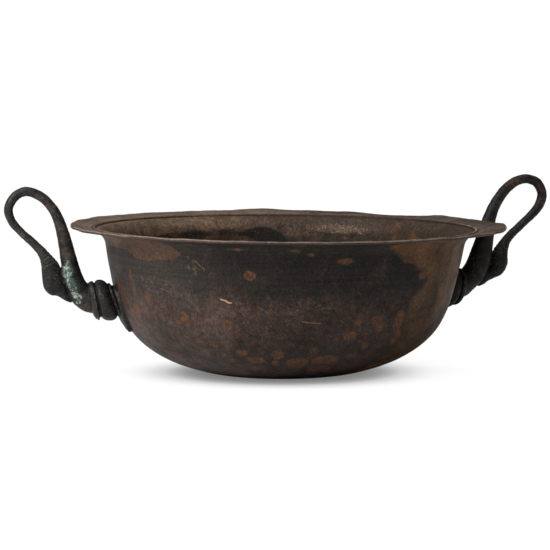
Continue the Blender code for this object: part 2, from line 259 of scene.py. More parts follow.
# Orange-brown spots outside: angle from the front, height, half width, half height, tone.
SPOTS = (
    (-35, 55, 4, 6, 1.0), (-31, 53, 3, 1.2, 0.7), (-19, 53, 3, 2, 0.8), (-44, 64, 4, 2, 0.6),
    (-32, 37, 3, 2, 0.8), (-26, 35, 4, 3, 0.8), (-51, 22, 11, 2, 0.6), (-41, 18, 11, 2, 0.6),
    (-16, 28, 5, 3, 0.9), (-26, 16, 4, 2, 0.7), (-52, 85, 2, 2, 0.9), (-59, 86, 2.5, 6, 0.9),
    (-55, 64, 2, 3, 0.7), (-58, 75, 2.5, 6, 0.6), (-60, 57, 7, 6, 0.8), (-71, 74, 4, 9, 0.9),
    (-71, 64, 8, 5, 0.8), (-29, 102, 2, 2, 0.5), (-30, 116, 5, 1, 0.4), (-51, 70, 3, 5, 0.6),
    (-30, 63, 3, 2, 0.4), (-14, 113, 7, 1.2, 0.8), (-11, 92, 5, 4, 0.9), (3, 112, 5, 1.1, 0.8),
    (8, 109, 3, 1.5, 0.6), (19, 103, 7, 2.5, 1.0), (4, 117, 3, 1, 0.5), (26, 53, 3, 2.6, 1.0),
    (24, 42, 6, 4, 0.9), (29, 24, 5, 3, 0.8), (-11, 22, 8, 3, 0.8), (-2, 27, 5, 4, 0.9),
    (6, 19, 9, 5, 0.9), (-3, 19, 3, 3, 0.8), (18, 22, 12, 4, 0.9), (4, 63, 1.2, 4, 0.4),
    (-11, 13, 7, 3, 0.7), (19, 40, 2, 2, 0.6), (18, 13, 10, 3, 0.7), (32, 33, 2, 4, 0.7),
    (33, 54, 5, 4, 0.7), (35, 48, 4, 5, 0.7), (43, 53, 5, 9, 0.9), (45, 38, 5, 6, 0.9),
    (32, 33, 4, 3, 0.7), (39, 32, 3, 3, 0.6), (50, 88, 5, 3, 0.9), (42, 102, 6, 3, 0.5),
    (55, 41, 9, 7, 0.5), (49, 20, 8, 3, 0.6), (-4, 68, 3, 2, 0.3), (12, 30, 4, 3, 0.4),
)
# Orange and red-brown spots on the far wall inside, angle from the back.
INNER_SPOTS = (
    (40, 108, 4, 8, 0.7), (48, 104, 6, 4, 0.8), (44, 118, 7, 2, 0.6), (-15, 100, 8, 1.5, 0.4),
    (-27, 101, 7, 1.6, 0.5), (-34, 99, 5, 1.4, 0.4), (21, 101, 5, 1.5, 0.5), (-12, 96, 6, 3, 0.5),
    (60, 100, 8, 3, 0.5), (-50, 98, 6, 4, 0.5), (30, 97, 7, 2, 0.5), (55, 96, 5, 2, 0.7),
)
SPOTS_BEHIND, SPOTS_INSIDE = 70, 60
chance = random.Random(41)
spots = [(a, h, w, t, tone, 0.0) for a, h, w, t, tone in SPOTS]
spots += [(180.0 - a, h, w, t, tone, 1.0) for a, h, w, t, tone in INNER_SPOTS]
for _ in range(SPOTS_BEHIND):
    spots.append((chance.uniform(88, 272), 12 + 62 * chance.random() ** 1.6, chance.uniform(2, 9),
                  chance.uniform(1.5, 5), chance.uniform(0.4, 1.0), 0.0))
for _ in range(SPOTS_INSIDE):
    spots.append((chance.uniform(-140, 140), 6 + 95 * chance.random() ** 1.3, chance.uniform(2, 9),
                  chance.uniform(1.5, 4), chance.uniform(0.4, 0.9), 1.0))
spot = np.full(count, -10.0)
tone = np.zeros(count)
for a, h, w, t, strength, side in spots:
    one = np.where(within == side, oval(a, h, w, t), -10.0)
    tone = np.where(one > spot, strength, tone)
    spot = np.maximum(spot, one)

# The bare shoulders outside: on the right an edge that runs up and forward, and on the left a patch
# between two lines, with a tongue at its right end.
edge_heights = [0.0, 40.0, 62.0, 71.0, 80.0, 84.0, 97.0, 100.0, 110.0, 113.0, 125.0]
edge_angles = [47.0, 46.0, 46.5, 47.7, 52.3, 53.5, 45.8, 41.5, 35.9, 33.0, 31.0]
bare_right = np.radians(angle - np.interp(height, edge_heights, edge_angles)) * reach
bare_right = np.minimum(bare_right, np.radians(128.0 - angle) * reach)
patch_angles = [-180.0, -125.0, -110.0, -79.0, -63.0, -57.8, -54.7, -49.5, -40.6, -36.5, -34.2, -33.0, -32.0, 180.0]
patch_heights = [128.0, 120.0, 104.0, 107.1, 108.7, 106.4, 102.1, 100.5, 102.2, 103.6, 105.4, 108.5, 135.0, 135.0]
over_angles = [-180.0, -43.0, -39.5, -35.5, -33.0, 180.0]
over_heights = [200.0, 140.0, 117.0, 110.5, 107.0, 107.0]
bare_left = np.minimum(height - np.interp(angle, patch_angles, patch_heights),
                       np.interp(angle, over_angles, over_heights) - height)
bare = np.where(within, -10.0, np.maximum(bare_right, bare_left))

# Soot outside, above a soft lower edge; inside a dark belt below a wavy top, and a black stain.
SOOT_FROM = 73.0
belt_angles = [120.0, 132.0, 142.0, 152.0, 165.0, 176.0, 186.0, 196.0, 206.0, 220.0, 234.0, 246.0, 258.0]
belt_tops = [88.0, 96.0, 101.0, 103.5, 103.0, 101.0, 103.0, 108.0, 108.5, 107.5, 105.0, 100.0, 88.0]
belt = np.interp(angle % 360.0, belt_angles, belt_tops) - height
soot = np.where(within, belt, (height - SOOT_FROM) * 0.5)
stain = np.where(within, ovals((188.0, 91, 24, 18.5), (178, 60, 60, 24)), -10.0)
# Crazed places outside, and pitted ones under the bead inside that glint, where pale glints are also painted.
craze = np.where(within, -10.0, ovals(
    (-26, 99, 16, 8), (-44, 78, 15, 8), (24, 70, 15, 9), (70, 78, 26, 20), (0, 67, 38, 8),
    (-62, 40, 12, 10), (160, 70, 30, 20), (230, 60, 30, 20)))
glint = np.where(within, ovals(
    (218, 108, 17, 5), (161, 108, 30, 5), (30, 106, 30, 5), (100, 105, 20, 5)), -10.0)
# Broad painted light over the patina: paler and warmer on the left, where the light falls, less so low down, darker
# on the right away from it; inside, paler towards the left.
pale = np.interp(angle, [-180, -120, -75, -45, -15, 15, 40, 75, 120, 180],
                 [0.1, 0.0, 1.0, 1.0, -0.1, -0.4, -0.5, -0.2, 0.3, 0.1])
pale *= 1.0 - 0.5 * np.clip((50.0 - height) / 35.0, 0.0, 1.0)
pale = np.where(within, -np.sin(np.radians(angle)) * reach / 120.0 - 0.1, pale)
for name, values, most in (
        ("spot", spot, 10.0), ("soot", soot, 10.0), ("bare", bare, 10.0), ("stain", stain, 10.0),
        ("craze", craze, 10.0), ("glint", glint, 10.0), ("bead", from_bead, 10.0), ("lip", lip_edge, 1.5),
        ("flange", flange, 1.0), ("pale", pale, 1.0), ("tone", tone, 1.0)):
    mark = bowl.data.attributes.new(name, "FLOAT", "POINT")
    mark.data.foreach_set("value", np.clip(values, -most, most).astype(np.float32))
bpy.ops.object.shade_smooth_by_angle(angle=math.radians(50))


def put(kind, settings=(), sockets=()):
    """Add a node to the tree in hand with its settings, and set or link its input sockets."""
    node = in_hand.nodes.new("ShaderNode" + kind)
    for name, value in dict(settings).items():
        setattr(node, name, value)
    for key, value in dict(sockets).items():
        if isinstance(value, bpy.types.NodeSocket):
            in_hand.links.new(value, node.inputs[key])
        else:
            node.inputs[key].default_value = value
    return node


def calc(operation, first, second=0.0, clamp=False):
    """Math on one or two values."""
    return put("Math", {"operation": operation, "use_clamp": clamp}, {0: first, 1: second}).outputs[0]


def times(*values):
    """Product of values."""
    product = values[0]
    for value in values[1:]:
        product = calc("MULTIPLY", product, value)
    return product


def plus(first, second, clamp=False):
    """Sum of two values."""
    return calc("ADD", first, second, clamp)


def minus(first, second):
    """Difference of two values."""
    return calc("SUBTRACT", first, second)


def greater(first, second):
    """The greater of two values."""
    return calc("MAXIMUM", first, second)


def rest_of(share):
    """What a share leaves of one."""
    return minus(1.0, share)


def opaque(color):
    """A colour given as three numbers gets its fourth."""
    return (*color, 1.0) if isinstance(color, tuple) else color


def tint(share, first, second, how="MIX"):
    """Second colour over the first by a share."""
    settings = {"data_type": "RGBA", "blend_type": how}
    return put("Mix", settings, {0: share, 6: opaque(first), 7: opaque(second)}).outputs[2]


def swung(color, factor):
    """Colour made lighter or darker by a factor."""
    factor = put("CombineXYZ", (), {0: factor, 1: factor, 2: factor}).outputs[0]
    return tint(1.0, color, factor, "MULTIPLY")


def ease(value, low, high, start=0.0, stop=1.0):
    """Value eased from one range to another."""
    sockets = {"Value": value, "From Min": low, "From Max": high, "To Min": start, "To Max": stop}
    return put("MapRange", {"interpolation_type": "SMOOTHSTEP"}, sockets).outputs[0]


def close_to(value, middle, near, far):
    """One where a value is near its middle, and nothing far from it."""
    return ease(calc("ABSOLUTE", minus(value, middle)), near, far, 1.0, 0.0)


def clouds(vector, scale, detail=4.0, rough=0.55, warp=0.0):
    """Soft noise over the surface, about 0.5."""
    sockets = {"Vector": vector, "Scale": scale, "Detail": detail, "Roughness": rough, "Distortion": warp}
    return put("TexNoise", {"noise_dimensions": "3D"}, sockets).outputs[0]


def stretched(vector, scale, shift=(0.0, 0.0, 0.0)):
    """The pattern's coordinates, stretched and shifted."""
    return put("Mapping", (), {"Vector": vector, "Scale": scale, "Location": shift}).outputs[0]


def vector_calc(operation, first, second=(0.0, 0.0, 0.0)):
    """Vector math; dot products and lengths come out as values."""
    node = put("VectorMath", {"operation": operation}, {0: first, 1: second})
    return node.outputs["Value" if operation in ("DOT_PRODUCT", "LENGTH") else "Vector"]


def field(name):
    """A value that was laid on the mesh."""
    return put("Attribute", {"attribute_name": name, "attribute_type": "GEOMETRY"}).outputs["Fac"]


def open_group(name, inputs, outputs):
    """Node group taken in hand; returns it, what it is given and what it makes.

    A named socket is a value by its number, or else it has its kind's name."""
    global in_hand
    in_hand = bpy.data.node_groups.new(name, "ShaderNodeTree")
    for label, given in inputs.items():
        kind = "NodeSocket" + (given if isinstance(given, str) else "Float")
        socket = in_hand.interface.new_socket(label, in_out="INPUT", socket_type=kind)
        if kind == "NodeSocketFloat":
            socket.default_value = given
    for label, kind in outputs.items():
        in_hand.interface.new_socket(label, in_out="OUTPUT", socket_type="NodeSocket" + kind)
    return in_hand, in_hand.nodes.new("NodeGroupInput").outputs, in_hand.nodes.new("NodeGroupOutput").inputs


def open_material(name):
    """New material, taken in hand; returns it and the sockets of its shader."""
    global in_hand
    material = bpy.data.materials.new(name)
    material.use_nodes = True
    in_hand = material.node_tree
    return material, in_hand.nodes["Principled BSDF"].inputs


def join(value, socket):
    """Link a value to a socket of the tree in hand."""
    in_hand.links.new(value, socket)


def place(group, sockets):
    """A group set into a material with its own values; returns its outputs."""
    return put("Group", {"node_tree": group}, sockets).outputs


# Patch of patina with a ragged edge, from a field in millimetres that is above zero inside it.
ragged_patch, given, made = open_group(
    "ragged patch", {"Vector": "Vector", "Field": 0.0, "Ragged": 1.5, "Soft": 0.4, "Scale": 220.0},
    {"Mask": "Float"})
wobble = minus(clouds(given["Vector"], given["Scale"], 5.0, 0.62), 0.5)
wobble = times(wobble, given["Ragged"], 4.0)
edge = plus(given["Field"], wobble)
less = times(given["Soft"], -1.0)
join(ease(edge, less, given["Soft"]), made["Mask"])

# Clouded patina in three tones with fine mottling.
patina, given, made = open_group(
    "clouded patina", {"Vector": "Vector", "Scale": 20.0, "Light": "Color", "Middle": "Color",
                       "Dark": "Color", "Mottle": 0.3, "Shift": 0.0}, {"Color": "Color"})
broad = plus(clouds(given["Vector"], given["Scale"], 6.0, 0.6, 0.4), given["Shift"])
color = tint(ease(broad, 0.36, 0.52), given["Dark"], given["Middle"])
color = tint(ease(broad, 0.52, 0.68), color, given["Light"])
fine = clouds(given["Vector"], times(given["Scale"], 13.0), 5.0, 0.65)
fine = ease(fine, 0.3, 0.7, -1.0, 1.0)
color = swung(color, plus(times(fine, given["Mottle"]), 1.0))
join(color, made["Color"])

# Fine pale and dark flecks, a millimetre or two across.
flecks, given, made = open_group(
    "fine flecks", {"Vector": "Vector", "Scale": 700.0}, {"Pale": "Float", "Dark": "Float"})
grains = clouds(given["Vector"], given["Scale"], 2.0, 0.6)
spread = clouds(given["Vector"], times(given["Scale"], 0.07), 3.0)
pale_share = times(ease(grains, 0.57, 0.70), ease(spread, 0.36, 0.60))
dark_share = times(ease(grains, 0.42, 0.30), ease(spread, 0.64, 0.42))
join(pale_share, made["Pale"])
join(dark_share, made["Dark"])

# Scratch or crack along a shaky run between two points.
scratch, given, made = open_group(
    "scratch", {"Vector": "Vector", "Start": "Vector", "End": "Vector", "Width": 0.0006}, {"Mask": "Float"})
shake = put("TexNoise", (), {"Vector": given["Vector"], "Scale": 260.0, "Detail": 2.0}).outputs["Color"]
shake = vector_calc("SUBTRACT", shake, (0.5, 0.5, 0.5))
shake = vector_calc("MULTIPLY", shake, (0.0022, 0.0022, 0.0022))
here = vector_calc("ADD", given["Vector"], shake)
run = vector_calc("SUBTRACT", given["End"], given["Start"])
off = vector_calc("SUBTRACT", here, given["Start"])
share = calc("DIVIDE", vector_calc("DOT_PRODUCT", off, run), vector_calc("DOT_PRODUCT", run, run), True)
nearest = put("VectorMath", {"operation": "SCALE"}, {0: run, 3: share}).outputs[0]
gap = vector_calc("LENGTH", vector_calc("SUBTRACT", off, nearest))
half = times(given["Width"], 0.35)
join(ease(gap, half, given["Width"], 1.0, 0.0), made["Mask"])

# Surface of old bronze: fine grain, shallow corrosion and pits, as a height.
skin, given, made = open_group(
    "corroded skin", {"Vector": "Vector", "Scale": 600.0, "Pits": 0.5}, {"Height": "Float"})
fine = clouds(given["Vector"], given["Scale"], 6.0, 0.6)
broad = clouds(given["Vector"], times(given["Scale"], 0.22), 4.0, 0.6)
cells = put("TexVoronoi", {"feature": "F1"}, {
    "Vector": given["Vector"], "Scale": times(given["Scale"], 0.5), "Randomness": 1.0}).outputs["Distance"]
spotty = ease(clouds(given["Vector"], times(given["Scale"], 0.09), 3.0), 0.5, 0.62)
pit = times(ease(cells, 0.12, 0.26, 1.0, 0.0), spotty)
rise = plus(times(fine, 0.5), broad)
join(minus(rise, times(pit, given["Pits"])), made["Height"])


def patch(vector, name, ragged, soft, scale):
    """Ragged patch over a field of the mesh."""
    return place(ragged_patch, {"Vector": vector, "Field": field(name), "Ragged": ragged,
                                "Soft": soft, "Scale": scale})["Mask"]


def bronze(vector, scale, light, middle, dark, mottle, shift=0.0):
    """Clouded patina in its three tones."""
    return place(patina, {"Vector": vector, "Scale": scale, "Light": opaque(light), "Middle": opaque(middle),
                          "Dark": opaque(dark), "Mottle": mottle, "Shift": shift})["Color"]


def on_bowl(angle, height):
    """Point on the outside of the bowl, by angle from the front and height in millimetres."""
    radius = wall_radius(height / 1000)
    turn = math.radians(FRONT + angle)
    return leaned(Vector((radius * math.cos(turn), radius * math.sin(turn), height / 1000)))


# Colours of the bowl's patina, with those of its painted light and shade, from light to dark where there are three.
OUTSIDE_BROWN = (0.076, 0.051, 0.042), (0.044, 0.0292, 0.0240), (0.028, 0.0200, 0.0168)
INSIDE_BROWN = (0.165, 0.108, 0.072), (0.098, 0.064, 0.043), (0.050, 0.034, 0.024)
LEFT_BARE_BROWN = (0.116, 0.069, 0.043), (0.091, 0.054, 0.034), (0.060, 0.037, 0.025)
RIGHT_BARE_BROWN = (0.120, 0.064, 0.030), (0.083, 0.042, 0.018), (0.040, 0.022, 0.011)
FLANGE_BROWN = (0.178, 0.124, 0.089), (0.135, 0.094, 0.070), (0.078, 0.055, 0.042)
SOOT_DARK, SOOT_GREY = (0.0150, 0.0132, 0.0116), (0.0240, 0.0208, 0.0182)
BELT_DARK, BELT_BROWN = (0.017, 0.012, 0.009), (0.030, 0.020, 0.014)
STAIN_BLACK, HALO_GREY = (0.0125, 0.0125, 0.0110), (0.026, 0.0235, 0.0215)
PATCH_EDGE, ORANGE, BLUISH = (0.120, 0.054, 0.030), (0.092, 0.047, 0.029), (0.036, 0.0345, 0.0340)
SPOT_DARK, SPOT_ORANGE = (0.068, 0.036, 0.022), (0.128, 0.058, 0.029)
BESIDE_BEAD, BEAD_FOOT_SHADE, FAR_BEAD = (0.095, 0.056, 0.035), (0.060, 0.034, 0.020), (0.105, 0.056, 0.031)
DARK_FLECK, BARE_METAL_AND_GLINT, UNDER_LIP_SHADE = (0.016, 0.013, 0.012), (0.42, 0.25, 0.17), (0.024, 0.018, 0.015)
BEAD_INNER_SHADE, LIP_RUB_AND_HIGHLIGHT, BEAD_RUB_AND_HIGHLIGHT = (0.022, 0.016, 0.013), (0.225, 0.186, 0.168), (0.55, 0.43, 0.32)

material, shader = open_material("bowl patina")
here = put("TexCoord").outputs["Object"]
axes = put("SeparateXYZ", (), {0: here}).outputs
leaning = math.radians(LEAN_SIDE)
rightward = vector_calc("DOT_PRODUCT", here, (math.cos(leaning), math.sin(leaning), 0.0))
rightward = ease(rightward, -0.04, 0.04)
mark_inside = ease(field("inside"), 0.45, 0.55)
flat_top = ease(times(field("flange"), mark_inside), 0.0, 0.10)
painted_light_side = field("pale")
# Painted light: the patina's tones are shifted paler on the left and darker on the right, twice as much inside as
# outside.
painted_light_shift = times(painted_light_side, ease(mark_inside, 0.0, 1.0, 0.12, 0.24))

color = tint(mark_inside, bronze(here, 19.0, *OUTSIDE_BROWN, 0.34, painted_light_shift),
             bronze(here, 24.0, *INSIDE_BROWN, 0.30, painted_light_shift))

# Soot: streaked along the lathe marks, heavier where the smoke was thick.
fine_streaks = clouds(stretched(here, (9.0, 9.0, 1300.0)), 1.0, 2.0, 0.6)
streaks = clouds(stretched(here, (6.0, 6.0, 420.0)), 1.0, 3.0, 0.6)
streaks = plus(times(fine_streaks, 0.55), times(streaks, 0.45))
streaky = ease(streaks, 0.36, 0.64)
soot_mask = patch(here, "soot", ease(mark_inside, 0.0, 1.0, 7.0, 2.2),
                  ease(mark_inside, 0.0, 1.0, 5.5, 2.0), ease(mark_inside, 0.0, 1.0, 22.0, 70.0))
smoke = clouds(here, 36.0, 6.0, 0.62, 0.6)
soot_mask = times(soot_mask, ease(smoke, 0.32, 0.54, 0.55, 1.0))
soot_color = tint(mark_inside, tint(streaky, SOOT_DARK, SOOT_GREY), tint(streaky, BELT_DARK, BELT_BROWN))
# Painted light on the soot outside: lighter on the left, as a painted sheen where the light falls, and a little
# darker on the right.
soot_painted_light = minus(ease(painted_light_side, -0.2, 1.0, 0.86, 1.85), 1.0)
soot_painted_light = plus(times(soot_painted_light, rest_of(mark_inside)), 1.0)
color = tint(soot_mask, color, swung(soot_color, soot_painted_light))
stain_mask = patch(here, "stain", 1.1, 0.6, 130.0)
color = tint(times(stain_mask, 0.92), color, STAIN_BLACK)

# The bare shoulders, sharp and red-edged on the left, soft on the right.
bare_mask = patch(here, "bare", 1.6, ease(rightward, 0.0, 1.0, 0.7, 4.0), 90.0)
bare_color = tint(rightward, bronze(here, 42.0, *LEFT_BARE_BROWN, 0.20),
                  bronze(here, 30.0, *RIGHT_BARE_BROWN, 0.24))
color = tint(bare_mask, color, bare_color)
bare_edge = times(bare_mask, rest_of(bare_mask), ease(rightward, 0.0, 1.0, 2.6, 0.6))
color = tint(bare_edge, color, PATCH_EDGE)

# Orange-brown and blue-grey mottling, clearer on the left where the painted light is paler.
lively = times(rest_of(times(soot_mask, 0.85)), ease(painted_light_side, 0.0, 1.0, 0.35, 0.62))
for scale, shift, mottle in ((170.0, (0.0, 0.0, 0.0), ORANGE), (150.0, (7.0, 3.0, 1.0), BLUISH)):
    blots = clouds(stretched(here, (1.0, 1.0, 0.6), shift), scale, 5.0, 0.66, 0.4)
    color = tint(times(ease(blots, 0.53, 0.64), lively), color, mottle)
# Painted light: the lowest part of the wall is painted lighter towards the foot, standing in for light thrown up
# from the floor.
color = swung(color, ease(axes["Z"], 0.002, 0.026, 2.6, 1.0))
# Charcoal grey round the low spots, then the spots.
halo = times(ease(field("spot"), -6.0, -0.5), ease(axes["Z"], 0.050, 0.034),
             rest_of(mark_inside), ease(clouds(here, 150.0, 5.0, 0.6), 0.36, 0.60, 0.15, 0.85))
color = tint(halo, color, HALO_GREY)
rust = tint(ease(clouds(here, 260.0, 4.0), 0.36, 0.64), SPOT_DARK, SPOT_ORANGE)
spot_mask = times(patch(here, "spot", 0.8, 0.6, 330.0), ease(field("tone"), 0.0, 1.0, 0.25, 0.95))
color = tint(spot_mask, color, rust)

# The flange: paler, with lathe lines round it and a browner band beside the bead.
from_bead = field("bead")
# Painted light: the flange's tones shift with the same painted light, paler on the left and darker on the right.
flange_shift = plus(times(painted_light_shift, 0.4), 0.02)
flange_color = bronze(here, 38.0, *FLANGE_BROWN, 0.20, flange_shift)
lathe = put("CombineXYZ", (), {0: from_bead, 1: clouds(here, 14.0, 2.0)}).outputs[0]
lathe = clouds(lathe, 1.3, 3.0, 0.7)
flange_color = swung(flange_color, ease(lathe, 0.32, 0.68, 0.72, 1.28))
beside = times(ease(from_bead, 4.2, 1.6), ease(clouds(here, 55.0, 4.0), 0.35, 0.6, 0.3, 0.9))
flange_color = tint(beside, flange_color, BESIDE_BEAD)
color = tint(flat_top, color, flange_color)

# Grain over all of it, then crazed pale veins, fine flecks, pale specks painted as glints and a few scratches.
grain = clouds(stretched(here, (1.0, 1.0, 0.55)), 780.0, 3.0, 0.7)
color = swung(color, ease(grain, 0.30, 0.70, 0.66, 1.34))
veins = times(close_to(clouds(here, 115.0, 3.0, 0.6, 0.5), 0.5, 0.010, 0.032),
              ease(clouds(here, 60.0, 3.0), 0.46, 0.58), patch(here, "craze", 3.0, 3.0, 60.0))
glint = patch(here, "glint", 2.0, 1.5, 120.0)
fine = place(flecks, {"Vector": here, "Scale": 620.0})
color = tint(times(fine["Dark"], 0.50), color, DARK_FLECK)
calm = rest_of(times(soot_mask, 0.65))
# Painted highlight: pale specks in the pitted band under the bead stand in for glints.
painted_glints = times(ease(clouds(here, 900.0, 2.0, 0.6), 0.54, 0.66), glint)
marks_and_glints = greater(times(veins, 0.16), times(painted_glints, 0.30))
marks_and_glints = greater(marks_and_glints, times(fine["Pale"], calm, 0.17))
# Scratches: angle and height of both ends, width, strength.
for first, last, width, strength in (
        ((-20.6, 72.3), (-17.3, 69.5), 0.0010, 1.0), ((-43.8, 77.7), (-39.9, 75.5), 0.0004, 0.45),
        ((-31.5, 105.0), (-28.8, 102.0), 0.0004, 0.45), ((-28.8, 102.0), (-25.5, 95.7), 0.0004, 0.45),
        ((6.2, 55.0), (12.6, 53.5), 0.0004, 0.45), ((12.2, 65.9), (15.5, 65.7), 0.0003, 0.35),
        ((67.2, 76.5), (69.5, 70.0), 0.0005, 0.5), ((71.5, 75.5), (69.5, 70.0), 0.0004, 0.5),
        ((69.5, 70.0), (73.5, 62.0), 0.0004, 0.5), ((66.7, 94.5), (66.9, 89.5), 0.0004, 0.45)):
    ends = {"Vector": here, "Start": on_bowl(*first), "End": on_bowl(*last), "Width": width}
    marks_and_glints = greater(marks_and_glints, times(place(scratch, ends)["Mask"], strength))
color = tint(marks_and_glints, color, BARE_METAL_AND_GLINT)

# The top of the lip and the near bead are painted pale, partly as rubbed metal and partly as a painted highlight;
# the lower half of the lip is painted in shade; the far bead is brown, and painted shade lies along both sides of
# the bead.
worn = ease(clouds(here, 90.0, 5.0), 0.38, 0.6, 0.22, 1.0)
lip_edge = field("lip")
# Painted shade: the lower half of the lip is painted dark.
under_lip_shade = times(ease(lip_edge, 0.42, 0.16), ease(field("flange"), 0.90, 0.94))
color = tint(times(under_lip_shade, 0.60), color, UNDER_LIP_SHADE)
# Painted shade in thin dark lines on both sides of the bead.
bead_foot_shade = times(close_to(from_bead, 1.5, 0.5, 1.3), mark_inside)
color = tint(times(bead_foot_shade, 0.75), color, BEAD_FOOT_SHADE)
bead = times(close_to(from_bead, 0.0, 0.3, 0.8), mark_inside)
back_side = ease(axes["Y"], -0.02, 0.06)
color = tint(times(bead, back_side, 0.8), color, FAR_BEAD)
bead = times(bead, rest_of(back_side))
bead_inner_shade = times(close_to(from_bead, -1.5, 0.3, 0.9), mark_inside)
color = tint(times(bead_inner_shade, 0.7), color, BEAD_INNER_SHADE)
# The top of the lip and the near bead: rubbed metal and painted highlight.
rub_and_highlight = times(close_to(lip_edge, 0.68, 0.08, 0.32), worn)
rub_and_highlight = greater(rub_and_highlight, times(bead, worn))
color = tint(times(rub_and_highlight, 0.85), color, tint(bead, LIP_RUB_AND_HIGHLIGHT, BEAD_RUB_AND_HIGHLIGHT))
join(color, shader["Base Color"])

rough = ease(clouds(here, 70.0, 5.0, 0.6), 0.3, 0.7, 0.42, 0.60)
rough = plus(rough, times(soot_mask, 0.06))
rough = minus(rough, times(rub_and_highlight, 0.10))
rough = minus(rough, times(glint, 0.14))
join(rough, shader["Roughness"])
metal = plus(times(rest_of(soot_mask), 0.25), times(glint, 0.15))
join(metal, shader["Metallic"])
shader["Specular IOR Level"].default_value = 0.1
surface = place(skin, {"Vector": here, "Scale": 520.0, "Pits": 0.7})
relief = plus(surface["Height"], times(streaks, 0.25))
relief = minus(relief, times(spot_mask, 0.25))
relief = plus(relief, times(clouds(here, 260.0, 3.0, 0.6), glint, 5.0))
bump = put("Bump", (), {"Height": relief, "Strength": 0.35, "Distance": 0.0004})
join(bump.outputs[0], shader["Normal"])

bowl.data.materials.clear()
bowl.data.materials.append(material)
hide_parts("bowl")
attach(bowl, "root")

# ---- The handles: two bronze castings, each soldered to the wall by a leaf-shaped plate. From the
# plate come a thin ring, a ball and a double collar, then a shaft that rises, loops outward over
# the rim and comes down as a swan's neck, its bill resting on the shaft.
HANDLE_UNIT = 0.001
ROD_SIDES = 36
PLATE_HALF_WIDTH, PLATE_ABOVE, PLATE_BELOW = 0.0140, 0.0120, 0.0265
PLATE_EDGE, PLATE_CROWN, PLATE_SUNK = 0.0028, 0.0046, 0.0004
VOXEL = 0.00046
# Chasing in millimetres: lines across the neck, the eye, and the line that parts the bill.
SWAN_FROM, ROOT_UNTIL = 30.0, 24.0
NECK_LINES, NECK_LINE_DEPTH = 4, 0.30
EYE_BALL, EYE_GROOVE = 1.7, 0.62
BILL_LINE, BILL_GROOVE = 19.0, 0.42
# Ring, ball and collar: distance out from the wall, rise, tilt in degrees, radius.
LEFT_ROOT = (
    (1.0, 0.0, -18, 11.2), (2.2, 0.0, -18, 12.8), (2.8, 0.0, -19, 14.1), (3.5, 0.0, -19, 14.5),
    (4.1, 0.0, -19, 14.1), (4.6, -0.1, -18, 12.8), (5.2, -0.2, -18, 14.1), (6.2, -0.3, -17, 15.6),
    (7.8, -0.5, -16, 16.8), (9.6, -0.5, -15, 17.4), (11.6, -0.5, -14, 17.5), (13.4, -0.4, -12, 17.2),
    (15.0, -0.3, -11, 16.6), (16.3, -0.1, -11, 15.6), (17.1, -0.1, -10, 14.3), (17.5, -0.2, -10, 13.4),
    (18.0, -0.5, -10, 15.0), (18.6, -0.8, -10, 16.4), (19.3, -0.8, -10, 16.5), (19.9, -0.6, -10, 15.7),
    (20.4, -0.5, -9, 15.9), (21.2, -0.3, -9, 15.6), (22.0, 0.0, -9, 14.8), (22.8, 0.3, -9, 13.6),
    (23.3, 0.4, -9, 11.9), (23.7, 0.5, -9, 9.0),
)
RIGHT_ROOT = (
    (1.0, 0.0, -18, 11.2), (4.2, 0.0, -18, 12.0), (4.9, 0.0, -19, 13.7), (5.6, 0.0, -19, 14.3),
    (6.3, 0.0, -19, 14.1), (7.0, -0.1, -18, 12.9), (7.6, -0.1, -18, 13.9), (8.6, -0.3, -17, 15.6),
    (10.2, -0.5, -16, 16.8), (12.0, -0.5, -15, 17.3), (13.8, -0.5, -14, 17.4), (15.6, -0.4, -12, 17.2),
    (17.0, -0.3, -11, 16.6), (18.2, -0.1, -11, 15.6), (18.9, 0.0, -10, 14.4), (19.3, 0.0, -10, 13.5),
    (19.8, 0.0, -10, 14.8), (20.5, 0.0, -10, 15.8), (21.6, 0.1, -10, 16.0), (22.8, 0.2, -9, 15.7),
    (23.8, 0.3, -9, 14.8), (24.5, 0.4, -9, 13.5), (25.0, 0.5, -9, 11.9), (25.3, 0.5, -9, 9.0),
)
# Shaft, loop, neck, head and bill: out, rise, thickness in the handle's plane, thickness across.
LEFT_SWAN = (
    (12.0, -0.4, 20.6, 20.6), (19.0, 0.2, 22.6, 22.6), (24.2, 1.2, 22.8, 22.8), (28.0, 3.0, 21.2, 21.0),
    (31.6, 6.0, 19.8, 19.6), (35.0, 12.0, 17.4, 17.4), (38.0, 20.6, 15.5, 15.2),
    (41.6, 36.0, 13.3, 12.8), (45.2, 52.7, 10.8, 10.4), (50.6, 69.1, 8.8, 8.8), (58.3, 80.3, 8.0, 8.0),
    (67.1, 86.8, 7.9, 7.9), (76.6, 89.1, 7.9, 7.8), (85.3, 84.7, 7.7, 7.6), (90.1, 75.0, 7.6, 7.4),
    (87.2, 64.8, 6.9, 7.0), (79.7, 56.0, 6.7, 6.8), (71.8, 48.9, 6.9, 6.8), (64.3, 41.2, 7.8, 7.6),
    (59.9, 34.8, 10.4, 9.4), (56.6, 28.2, 14.8, 11.8), (54.5, 21.0, 17.4, 13.2), (53.0, 14.8, 19.2, 13.6),
    (50.8, 10.8, 17.4, 12.6), (47.8, 7.8, 11.4, 10.4), (44.6, 4.2, 7.2, 8.4), (41.2, 1.0, 5.2, 7.0),
    (38.6, -1.2, 2.6, 4.2),
)
